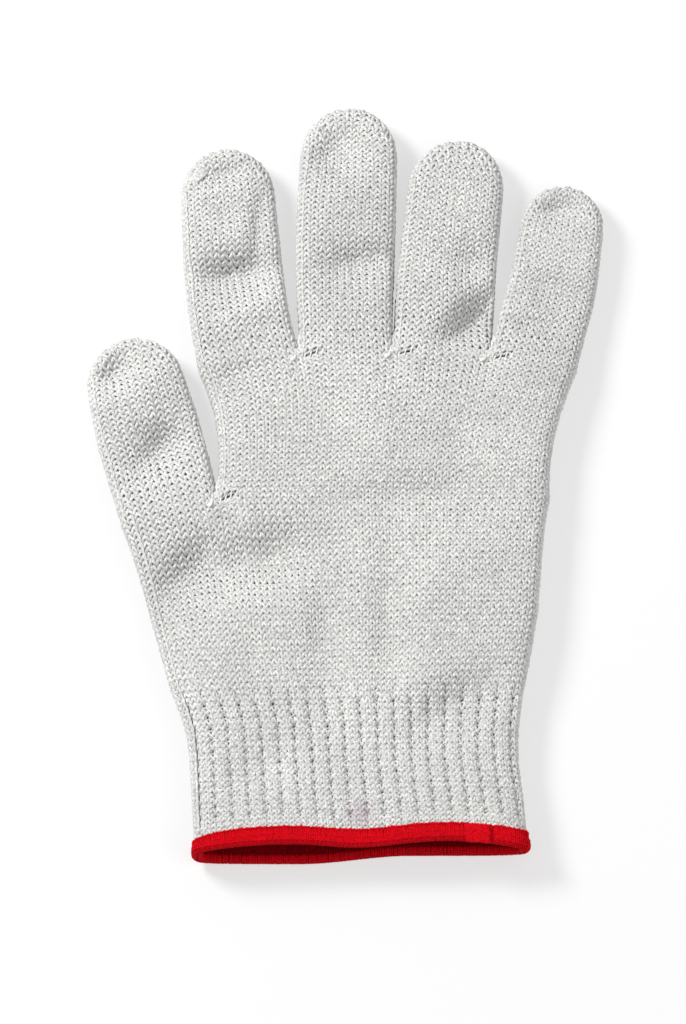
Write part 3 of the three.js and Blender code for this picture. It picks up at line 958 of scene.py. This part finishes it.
def mouth(share, up, out):
    """A point on the band: the share of the way round, the height above the edge, and the distance out."""
    from_fold = np.abs((share + 0.5) % 1 - 0.5)
    narrow = 1 - NARROW * np.exp(-((from_fold / NARROW_REACH) ** 2))
    up = np.where((up > 0) & (out > 0), up * narrow, up)
    found = sampled(body_ring, share * body_ring.shape[1], np.maximum(2 * up / BODY_COURSE, 0))
    normals = unit(found[:, 3:])
    places = found[:, :3] + out[:, None] * normals
    places[:, 1] += np.minimum(up, 0)
    return places, normals


def wraps(up, out):
    """Short threads side by side all round the mouth, each along the same path of heights and distances."""
    count = round(around / WRAP_PITCH)
    bulge = 0.42 * np.exp(-(((up - 0.9) / 1.1) ** 2)) * np.sign(out)
    strands = []
    for k in range(count):
        noise = rng.normal(0, 1, 3)
        slant = np.linspace(0.5, -0.5, len(up)) * (0.9 + 0.3 * noise[0])
        share = (k + 0.05 * noise[1] + slant) / count
        reach = up + 0.14 * noise[2] * (up > 3)
        points, normals = mouth(share, reach, out + bulge)
        strands.append(capped(points, normals, WRAP_RADIUS * (1 + 0.05 * noise[2]), 5))
    return strands


def chain(up, out, wide, radius):
    """A line of linked loops along the band."""
    count = round(around / CHAIN_PITCH)
    turn = np.linspace(0, 2 * np.pi * count, count * CHAIN_STEPS, endpoint=False)
    share = (turn / (2 * np.pi) + 0.21 * np.sin(2 * turn)) / count
    height = up + wide * np.sin(turn) + 0.05 * rng.normal(0, 1, len(turn))
    points, normals = mouth(share, height, out + 0.12 * np.cos(2 * turn))
    return strand(points, normals, radius, 5)


def padding(up, out):
    """A thread laid round the mouth underneath the wraps."""
    share = np.arange(PAD_STEPS) / PAD_STEPS
    points, normals = mouth(share, np.full(PAD_STEPS, float(up)), np.full(PAD_STEPS, float(out)))
    return strand(points, normals, PAD_RADIUS, 5)


def overlock_outside():
    turn = np.linspace(0, np.pi, 6)[1:-1]
    up = np.concatenate([np.linspace(BAND_UP, 0.9, 7), -0.9 * np.sin(turn), [0.9, 1.6]])
    out = np.concatenate([np.full(7, ROLL), ROLL * np.cos(turn), np.full(2, -ROLL)])
    strands = wraps(up, out)
    strands.append(chain(BAND_UP - 0.4, ROLL + 0.15, 0.3, 0.24))
    strands.append(chain(2.0, ROLL + 0.32, 0.5, 0.26))
    strands.append(chain(0.2, ROLL + 0.32, 0.42, 0.26))
    return strands + [padding(up, 0.7) for up in np.arange(0.2, BAND_UP - 0.4, PAD_PITCH)]


def overlock_inside():
    strands = wraps(np.linspace(1.2, INSIDE_UP, 6), np.full(6, -ROLL))
    strands.append(chain(INSIDE_UP - 0.4, -ROLL - 0.2, 0.4, 0.26))
    return strands + [padding(up, -0.7) for up in np.arange(0.0, INSIDE_UP - 0.4, PAD_PITCH)]


for name, strands, yarn in (
    ("overlock_threads", overlock_outside(), overlock_yarn),
    # the inside threads take the darker copy of the red thread: painted shade
    ("overlock_inside_threads", overlock_inside(), inside_painted_shade_yarn),
):
    piece = make_mesh(name, strands, yarn)
    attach(piece, "cuff")
    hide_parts("overlock_edge")


def tail():
    """The loose end of the overlock thread, bunched into a tuft on the palm side of the band."""
    low, high = (np.array(corner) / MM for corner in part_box("overlock_tail"))
    share = np.searchsorted(body.front[0, :, 0], (low[0] + high[0]) / 2) / body_ring.shape[1]
    turn = np.linspace(0, 2 * np.pi, TUFT_POINTS)
    strands = []
    for k in range(TUFT_STRANDS):
        across = TUFT_WIDE * np.sin((4 + 0.5 * k) * turn + k) + 0.4 * np.sin(11 * turn)
        up = TUFT_UP + TUFT_TALL * np.sin((5 - 0.5 * k) * turn + 2 * k) + 0.4 * np.cos(13 * turn + k)
        middle = 1 - 0.3 * (across / TUFT_WIDE) ** 2 - 0.3 * ((up - TUFT_UP) / TUFT_TALL) ** 2
        out = ROLL + 0.45 + 0.9 * middle + 0.3 * np.sin(7 * turn + 2 * k)
        points, normals = mouth(share + across / around, up, out)
        strands.append(capped(points, normals, TUFT_RADIUS, 6))
    return strands


piece = make_mesh("overlock_tail_thread", tail(), overlock_yarn)
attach(piece, "cuff")
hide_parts("overlock_tail")

# ---- the seams at the crotches ----
palm_ring = as_ring(palm_cloth)
crotches = {}  # the neighbours, and the column of the tube below where the crotch stands
for k, (a, b) in enumerate(zip(fingers, fingers[1:]), 1):
    crotches[f"{a}_{b}_join"] = (a, b, k * (DIGIT_WALES - 2 * DROPPED) + DROPPED)
crotches["thumb_index_join"] = ("thumb", None, DIGIT_WALES - DROPPED)


def crotch_join(name):
    left, right, column = crotches[name]
    left_ring = as_ring(digit_cloths[left])
    right_ring = palm_ring if right is None else as_ring(digit_cloths[right])
    below = body_ring if right is None else palm_ring
    last = len(below) - 1
    strands = []
    # the light bar, from the palm up into the edge of the right-hand neighbour
    columns, rows = column - np.array([1.2, 0.6]), last + np.array([-2.0, -0.9])
    low, low_normals = surface(below, columns, rows, JOIN_OUT)
    columns, rows = np.array([1.2, 1.0, 0.9]), np.array([0.6, 3.0, 6.0])
    high, high_normals = surface(right_ring, columns, rows, JOIN_OUT)
    points = resampled(np.concatenate([low, high]), 18)
    normals = resampled(np.concatenate([low_normals, high_normals]), 18)
    beside = unit(np.cross(np.gradient(points, axis=0), normals))
    twist = np.linspace(0, 3 * np.pi, len(points))[:, None]
    for ply in (0, np.pi):
        swing = 0.3 * (np.cos(twist + ply) * beside + np.sin(twist + ply) * normals)
        strands.append(capped(points + swing, normals, JOIN_RADIUS, 6))
    # slanted stitches beside it, with gaps between them
    for k in range(4):
        start = column + 0.5 + 0.75 * k
        low, low_normals = surface(below, np.array([start]), np.array([last - 1.8]), 0.25)
        beyond = np.array([start - column + DROPPED + 0.4])
        high, high_normals = surface(right_ring, beyond, np.array([1.6]), 0.3)
        points = resampled(np.concatenate([low, high]), 5)
        normals = resampled(np.concatenate([low_normals, high_normals]), 5)
        strands.append(capped(points, normals, 0.27, 5))
    # strands over the saddle, from the palm side to the back
    for shift in (-0.9, -0.3, 0.3, 0.9):
        ring = left_ring if shift < 0 else right_ring
        middle = DIGIT_WALES if shift < 0 else 0
        columns = middle + np.linspace(-1.6, 1.6, 12) * (1 if shift < 0 else -1)
        rows = 0.3 + abs(shift) + 0.3 * np.cos(np.linspace(-1.2, 1.2, 12))
        points, normals = surface(ring, columns, rows, 0.35)
        strands.append(capped(points, normals, JOIN_RADIUS, 6))
    return strands


for name in crotches:
    piece = make_mesh(f"{name}_threads", crotch_join(name), join_yarn)
    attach(piece, "palm")
    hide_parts(name)

for node in frame["nodes"].values():
    if node.name == "cuff_elastic":
        node.data.materials.clear()
        node.data.materials.append(elastic_yarn)
